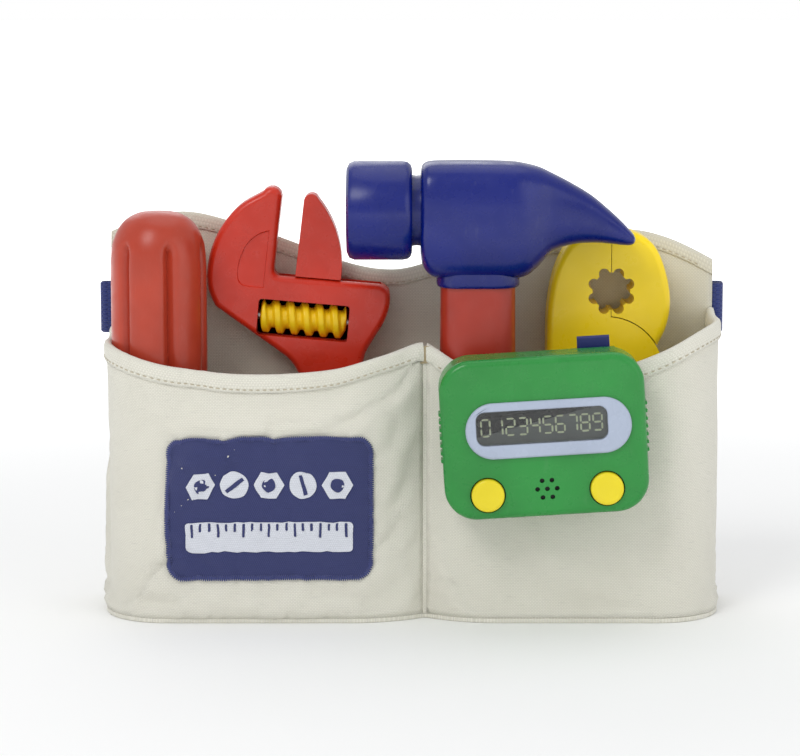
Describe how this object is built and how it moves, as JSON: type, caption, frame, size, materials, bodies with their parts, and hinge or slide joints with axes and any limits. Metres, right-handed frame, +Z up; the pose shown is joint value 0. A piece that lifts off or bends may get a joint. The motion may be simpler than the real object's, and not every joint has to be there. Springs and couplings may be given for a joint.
{
  "type": "toy tool belt",
  "caption": "Canvas toy tool pouch with side-by-side pockets on a folding waist strap, holding a toy screwdriver, adjustable wrench, hammer, pliers and a clip-on pager.",
  "frame": {"origin": "middle of the underside of the pouch bottom panel, on the resting surface", "axes": "+Z up, front of the pouch faces -Y, +X to the right along the width"},
  "size_m": [0.298, 0.1104, 0.216],
  "materials": {
    "canvas": "undyed cotton canvas",
    "label_weave": "woven label",
    "webbing": "woven polypropylene webbing",
    "buckle_plastic": "moulded acetal",
    "driver_red": "moulded",
    "driver_grey": "moulded",
    "wrench_red": "moulded",
    "tool_yellow": "moulded",
    "hammer_blue": "moulded",
    "handle_red": "moulded",
    "pager_green": "moulded",
    "bezel_silver": "silver-lavender paint on plastic",
    "window_clear": "clear polystyrene",
    "display_grey": "printed display",
    "board_green": "phenolic board",
    "clip_navy": "moulded",
    "screw_steel": "zinc plated",
    "speaker_black": "paper cone in a steel cup",
    "cell_jacket": "plain jacket",
    "pad_rubber": "silicone"
  },
  "bodies": {
    "pouch": {"left_pocket": "canvas", "right_pocket": "canvas", "pocket_divider": "canvas", "back_panel": "canvas", "bottom_panel": "canvas", "label_patch": "label_weave", "waist_band": "webbing", "belt_loop_1": "canvas", "belt_loop_2": "canvas", "belt_loop_3": "canvas", "belt_loop_4": "canvas"},
    "left_strap": {"strap_left": "webbing", "buckle_socket": "buckle_plastic"},
    "right_strap": {"strap_right": "webbing", "strap_tail": "webbing", "tri_glide": "buckle_plastic", "buckle_plug": "buckle_plastic"},
    "screwdriver": {"driver_front_shell": "driver_red", "driver_back_shell": "driver_red", "driver_shaft": "driver_grey", "driver_collar": "driver_grey"},
    "wrench": {"wrench_front_shell": "wrench_red", "wrench_back_shell": "wrench_red", "wrench_screws": "screw_steel", "worm_pin": "screw_steel"},
    "jaw": {"wrench_jaw": "wrench_red"},
    "worm": {"worm": "tool_yellow"},
    "hammer": {"hammer_head_front": "hammer_blue", "hammer_head_back": "hammer_blue", "hammer_head_screws": "screw_steel", "hammer_handle_front": "handle_red", "hammer_handle_back": "handle_red", "hammer_handle_screws": "screw_steel"},
    "pliers": {"plier_left": "tool_yellow", "plier_pivot": "clip_navy"},
    "plier_right_half": {"plier_right": "tool_yellow"},
    "pager": {"pager_back_shell": "pager_green", "pager_front_shell": "pager_green", "display_bezel": "bezel_silver", "display_window": "window_clear", "display_panel": "display_grey", "circuit_board": "board_green", "speaker": "speaker_black", "button_pads": "pad_rubber", "batteries": "cell_jacket", "battery_contacts": "screw_steel", "pager_screws": "screw_steel", "clip_pin": "screw_steel"},
    "battery_door": {"battery_door": "pager_green"},
    "left_button": {"button_left": "tool_yellow"},
    "right_button": {"button_right": "tool_yellow"},
    "clip": {"belt_clip": "clip_navy"}
  },
  "joints": [
    {"name": "strap_left_fold", "type": "hinge", "parent": "pouch", "child": "left_strap", "pos_m": [-0.1495, 0.0387, 0.142], "axis": [0, 0, 1], "range_deg": [0, 180]},
    {"name": "strap_right_fold", "type": "hinge", "parent": "pouch", "child": "right_strap", "pos_m": [0.1495, 0.0387, 0.142], "axis": [0, 0, -1], "range_deg": [0, 180]},
    {"name": "screwdriver_lift", "type": "slide", "parent": "pouch", "child": "screwdriver", "axis": [0, 0, 1], "range_m": [0, 0.15]},
    {"name": "wrench_lift", "type": "slide", "parent": "pouch", "child": "wrench", "axis": [0, 0, 1], "range_m": [0, 0.16]},
    {"name": "jaw_slide", "type": "slide", "parent": "wrench", "child": "jaw", "axis": [0.9962, 0, -0.0872], "range_m": [-0.0085, 0.0185]},
    {"name": "worm_spin", "type": "hinge", "parent": "wrench", "child": "worm", "pos_m": [-0.05245, 0.023, 0.13788], "axis": [0.9962, 0, -0.0872], "range_deg": [-440, 960]},
    {"name": "hammer_lift", "type": "slide", "parent": "pouch", "child": "hammer", "axis": [0, 0, 1], "range_m": [0, 0.17]},
    {"name": "pliers_lift", "type": "slide", "parent": "pouch", "child": "pliers", "axis": [0, 0, 1], "range_m": [0, 0.15]},
    {"name": "pliers_open", "type": "hinge", "parent": "pliers", "child": "plier_right_half", "pos_m": [0.093, 0.0202, 0.112], "axis": [0, 1, 0], "range_deg": [0, 12]},
    {"name": "pager_lift", "type": "slide", "parent": "pouch", "child": "pager", "axis": [0, 0, 1], "range_m": [0, 0.1]},
    {"name": "button_left_press", "type": "slide", "parent": "pager", "child": "left_button", "axis": [0, 1, 0], "range_m": [0, 0.0015], "stiffness_N_per_m": 250},
    {"name": "button_right_press", "type": "slide", "parent": "pager", "child": "right_button", "axis": [0, 1, 0], "range_m": [0, 0.0015], "stiffness_N_per_m": 250},
    {"name": "battery_door_slide", "type": "slide", "parent": "pager", "child": "battery_door", "axis": [0.061, 0, -0.9981], "range_m": [0, 0.028]},
    {"name": "clip_flex", "type": "hinge", "parent": "pager", "child": "clip", "pos_m": [0.08424, -0.0343, 0.12783], "axis": [0.9981, 0, 0.061], "range_deg": [0, 8], "stiffness_Nm_per_rad": 0.25}
  ],
  "couplings": [
    {"joint": "worm_spin", "follows": "jaw_slide", "rad_per_m": 897.6}
  ]
}
